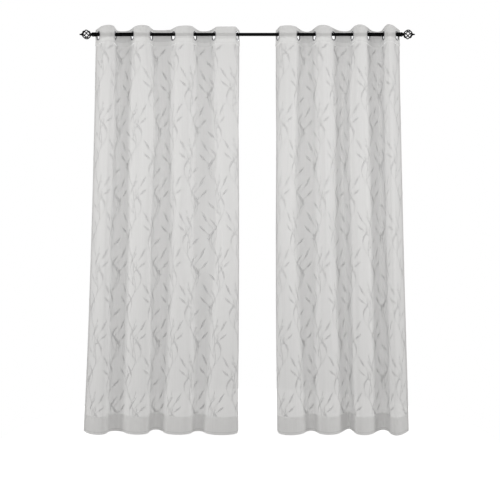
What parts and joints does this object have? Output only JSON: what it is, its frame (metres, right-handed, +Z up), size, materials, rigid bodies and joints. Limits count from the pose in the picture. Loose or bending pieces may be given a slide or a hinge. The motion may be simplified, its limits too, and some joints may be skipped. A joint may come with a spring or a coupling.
{
  "type": "sheer voile eyelet curtain pair on its rod",
  "caption": "Pair of sheer white voile eyelet curtains with a willow-leaf vine, hung in soft folds on a telescopic black metal rod with open cage finials.",
  "frame": {"origin": "middle of the rod's axis, in the gap between the two panels", "axes": "+X along the rod to the right as seen from the room, +Y towards the wall, +Z up"},
  "size_m": [2.016, 0.1518, 2.43],
  "materials": {
    "voile": "sheer white polyester voile with tone-on-tone embroidery",
    "heading_band": "doubled white voile over a stiff band, matt",
    "eyelet_chrome": "polished silver",
    "black_metal": "satin black"
  },
  "bodies": {
    "root": {"panel_left": "voile", "heading_left": "heading_band", "eyelet_left_1": "eyelet_chrome", "eyelet_left_2": "eyelet_chrome", "eyelet_left_3": "eyelet_chrome", "eyelet_left_4": "eyelet_chrome", "eyelet_left_5": "eyelet_chrome", "eyelet_left_6": "eyelet_chrome", "eyelet_left_7": "eyelet_chrome", "eyelet_left_8": "eyelet_chrome", "panel_right": "voile", "heading_right": "heading_band", "eyelet_right_1": "eyelet_chrome", "eyelet_right_2": "eyelet_chrome", "eyelet_right_3": "eyelet_chrome", "eyelet_right_4": "eyelet_chrome", "eyelet_right_5": "eyelet_chrome", "eyelet_right_6": "eyelet_chrome", "eyelet_right_7": "eyelet_chrome", "eyelet_right_8": "eyelet_chrome", "rod_tube_left": "black_metal", "rod_tube_middle": "black_metal", "rod_tube_right": "black_metal", "finial_collar_left": "black_metal", "finial_collar_right": "black_metal", "finial_cage_left": "black_metal", "finial_cage_right": "black_metal"}
  },
  "joints": []
}
